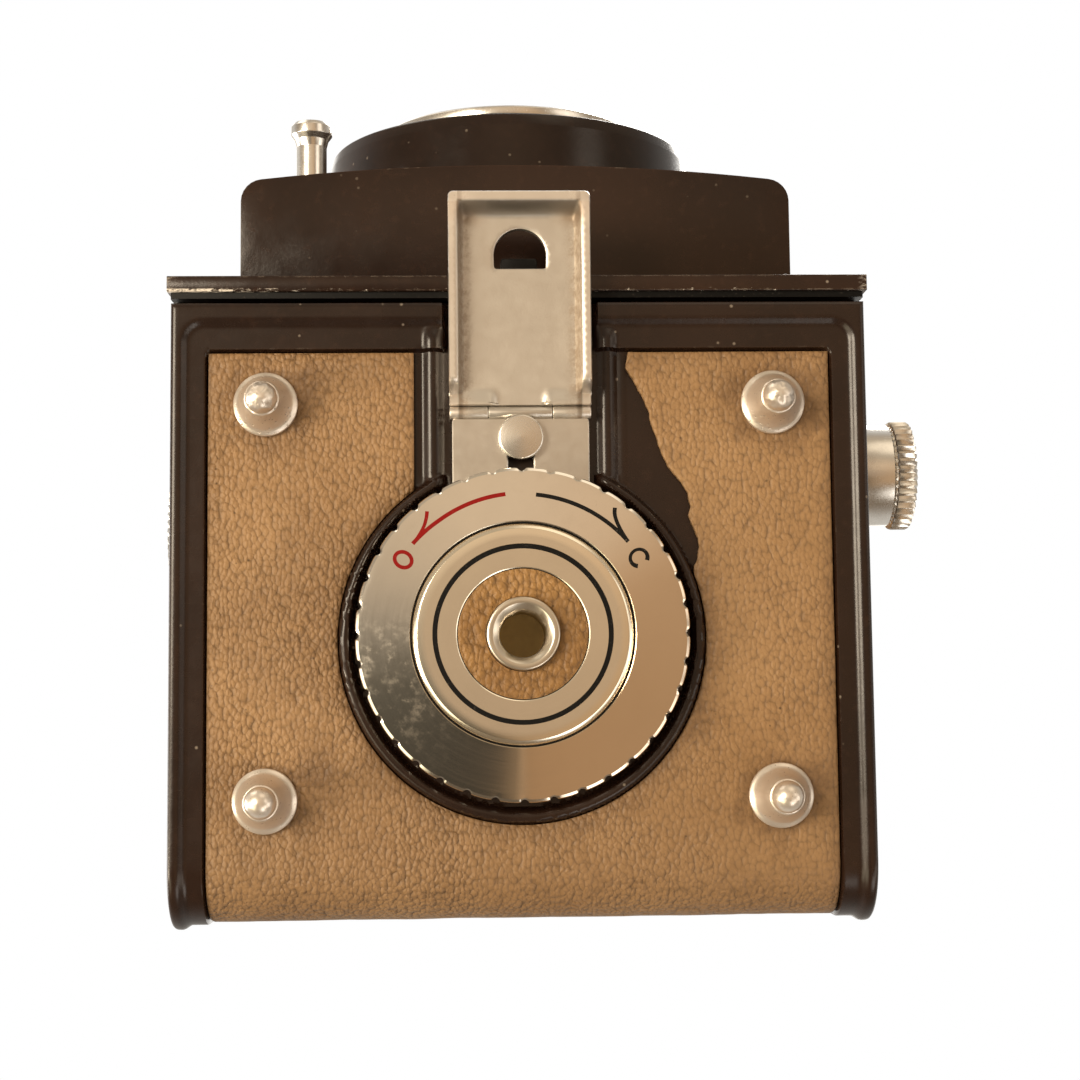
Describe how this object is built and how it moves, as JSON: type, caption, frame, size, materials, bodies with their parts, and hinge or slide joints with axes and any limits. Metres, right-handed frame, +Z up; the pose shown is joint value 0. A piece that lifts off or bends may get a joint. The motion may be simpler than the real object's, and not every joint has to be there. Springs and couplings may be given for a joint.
{
  "type": "twin-lens reflex box camera",
  "caption": "Box-shaped twin-lens reflex film camera with leather-clad drop door, turn-dial latch, stub feet, focusing front panel and folding waist-level hood.",
  "frame": {"origin": "mouth of the tripod socket on its axis, in the middle of the lock dial on the bottom", "axes": "+Z up through the focusing hood, -Y is where the lenses look, -X is the side of the winding and focusing knobs (the user's right hand)"},
  "size_m": [0.0955, 0.1011, 0.14],
  "materials": {
    "brown_paint": "glossy baked enamel, chipped at edges",
    "tan_leather": "fine pebble grain, soiled and torn",
    "black_paint": "matte black",
    "satin_metal": "satin, stained",
    "bright_metal": "polished",
    "glass": "coated lens glass",
    "mirror": "front-silvered",
    "spool_paint": "semi-gloss"
  },
  "bodies": {
    "camera_body": {"body_shell": "brown_paint", "front_flange": "brown_paint", "light_baffle": "black_paint", "film_gate": "black_paint", "viewing_mirror": "mirror", "mirror_bracket": "black_paint", "focusing_screen": "glass", "side_leatherette": "tan_leather", "spool_bushes": "satin_metal", "strap_lugs": "bright_metal", "door_hinge_pin": "bright_metal", "hood_base": "brown_paint", "hood_hinge_pins": "bright_metal", "latch_catch": "brown_paint"},
    "focusing_panel": {"lens_panel": "brown_paint", "guide_posts": "bright_metal", "focus_slide_bar": "satin_metal", "shutter_cover": "brown_paint", "shutter_housing": "black_paint", "lens_bezel": "bright_metal", "taking_lens_front": "glass", "taking_lens_rear": "glass", "shutter_blades": "black_paint", "viewing_lens_barrel": "brown_paint", "viewing_lens_front": "glass", "flash_socket": "bright_metal"},
    "release": {"release_button": "bright_metal"},
    "aperture_control": {"aperture_ring": "satin_metal"},
    "speed_control": {"speed_ring": "satin_metal"},
    "cocking_control": {"cocking_ring": "bright_metal"},
    "focus_drive": {"focus_knob": "bright_metal", "focus_cam": "satin_metal", "focus_scale": "satin_metal"},
    "winder": {"wind_knob": "bright_metal", "wind_shaft": "satin_metal", "take_up_spool": "spool_paint"},
    "supply_reel": {"supply_spool": "spool_paint"},
    "supply_pull": {"supply_knob": "bright_metal"},
    "take_up_pull": {"take_up_knob": "bright_metal"},
    "roller": {"film_roller": "bright_metal"},
    "door": {"back_door": "brown_paint", "door_leatherette": "tan_leather", "feet": "bright_metal", "tripod_bush": "bright_metal", "dial_boss": "satin_metal", "boss_washer": "tan_leather", "guide_stud": "bright_metal", "pressure_springs": "satin_metal"},
    "film_plate": {"pressure_plate": "black_paint"},
    "dial": {"lock_dial": "bright_metal"},
    "latch": {"latch_plate": "satin_metal", "tab_hinge_pin": "bright_metal"},
    "tab": {"latch_tab": "satin_metal"},
    "hood_front": {"hood_lid": "brown_paint"},
    "hood_left": {"hood_left_flap": "brown_paint"},
    "hood_right": {"hood_right_flap": "brown_paint"},
    "hood_rear": {"hood_back_flap": "brown_paint"},
    "magnifier": {"magnifier_frame": "black_paint", "magnifier_lens": "glass"}
  },
  "joints": [
    {"name": "door_hinge", "type": "hinge", "parent": "camera_body", "child": "door", "pos_m": [0, 0.0299, 0.1148], "axis": [1, 0, 0], "range_deg": [0, 100]},
    {"name": "lock_dial_turn", "type": "hinge", "parent": "door", "child": "dial", "pos_m": [0, 0, 0.0015], "axis": [0, 0, -1], "range_deg": [0, 60]},
    {"name": "latch_slide", "type": "slide", "parent": "door", "child": "latch", "axis": [0, -1, 0], "range_m": [0, 0.0032]},
    {"name": "latch_tab_lift", "type": "hinge", "parent": "latch", "child": "tab", "pos_m": [0, -0.0242, 0.0031], "axis": [1, 0, 0], "range_deg": [0, 80], "stiffness_Nm_per_rad": 0.02},
    {"name": "pressure_plate_float", "type": "slide", "parent": "door", "child": "film_plate", "axis": [0, 1, 0], "range_m": [0, 0.0006], "stiffness_N_per_m": 400},
    {"name": "focus_turn", "type": "hinge", "parent": "camera_body", "child": "focus_drive", "pos_m": [-0.04, -0.017, 0.0635], "axis": [-1, 0, 0], "range_deg": [0, 280]},
    {"name": "panel_slide", "type": "slide", "parent": "camera_body", "child": "focusing_panel", "axis": [0, -1, 0], "range_m": [0, 0.008]},
    {"name": "wind_turn", "type": "hinge", "parent": "camera_body", "child": "winder", "pos_m": [-0.04, 0.013, 0.089], "axis": [-1, 0, 0], "continuous": true},
    {"name": "supply_spin", "type": "hinge", "parent": "camera_body", "child": "supply_reel", "pos_m": [0, -0.0191, 0.0195], "axis": [1, 0, 0], "continuous": true},
    {"name": "supply_knob_pull", "type": "slide", "parent": "camera_body", "child": "supply_pull", "axis": [1, 0, 0], "range_m": [0, 0.0075], "stiffness_N_per_m": 60},
    {"name": "take_up_knob_pull", "type": "slide", "parent": "camera_body", "child": "take_up_pull", "axis": [1, 0, 0], "range_m": [0, 0.0075], "stiffness_N_per_m": 60},
    {"name": "roller_spin", "type": "hinge", "parent": "camera_body", "child": "roller", "pos_m": [0, 0.0222, 0.012], "axis": [1, 0, 0], "continuous": true},
    {"name": "release_press", "type": "slide", "parent": "focusing_panel", "child": "release", "axis": [0, 1, 0], "range_m": [0, 0.0025], "stiffness_N_per_m": 150},
    {"name": "aperture_set", "type": "hinge", "parent": "focusing_panel", "child": "aperture_control", "pos_m": [0, -0.065, 0.05], "axis": [0, 1, 0], "range_deg": [-20, 20]},
    {"name": "speed_set", "type": "hinge", "parent": "focusing_panel", "child": "speed_control", "pos_m": [0, -0.066, 0.05], "axis": [0, 1, 0], "range_deg": [-20, 20]},
    {"name": "shutter_cock", "type": "hinge", "parent": "focusing_panel", "child": "cocking_control", "pos_m": [0, -0.067, 0.05], "axis": [0, 1, 0], "range_deg": [-15, 30]},
    {"name": "hood_lid_open", "type": "hinge", "parent": "camera_body", "child": "hood_front", "pos_m": [0, -0.0352, 0.1349], "axis": [1, 0, 0], "range_deg": [0, 90]},
    {"name": "hood_left_open", "type": "hinge", "parent": "camera_body", "child": "hood_left", "pos_m": [-0.029, 0, 0.127], "axis": [0, -1, 0], "range_deg": [0, 90]},
    {"name": "hood_right_open", "type": "hinge", "parent": "camera_body", "child": "hood_right", "pos_m": [0.029, 0, 0.127], "axis": [0, 1, 0], "range_deg": [0, 90]},
    {"name": "hood_back_open", "type": "hinge", "parent": "camera_body", "child": "hood_rear", "pos_m": [0, 0.023, 0.122], "axis": [-1, 0, 0], "range_deg": [0, 90]},
    {"name": "magnifier_swing", "type": "hinge", "parent": "hood_front", "child": "magnifier", "pos_m": [0, -0.0042, 0.1349], "axis": [-1, 0, 0], "range_deg": [0, 90]}
  ],
  "couplings": [
    {"joint": "lock_dial_turn", "follows": "latch_slide", "rad_per_m": 327.25},
    {"joint": "focus_turn", "follows": "panel_slide", "rad_per_m": 610.87},
    {"joint": "hood_left_open", "follows": "hood_lid_open", "ratio": 1},
    {"joint": "hood_right_open", "follows": "hood_lid_open", "ratio": 1},
    {"joint": "hood_back_open", "follows": "hood_lid_open", "ratio": 1},
    {"joint": "magnifier_swing", "follows": "hood_lid_open", "ratio": 1}
  ]
}
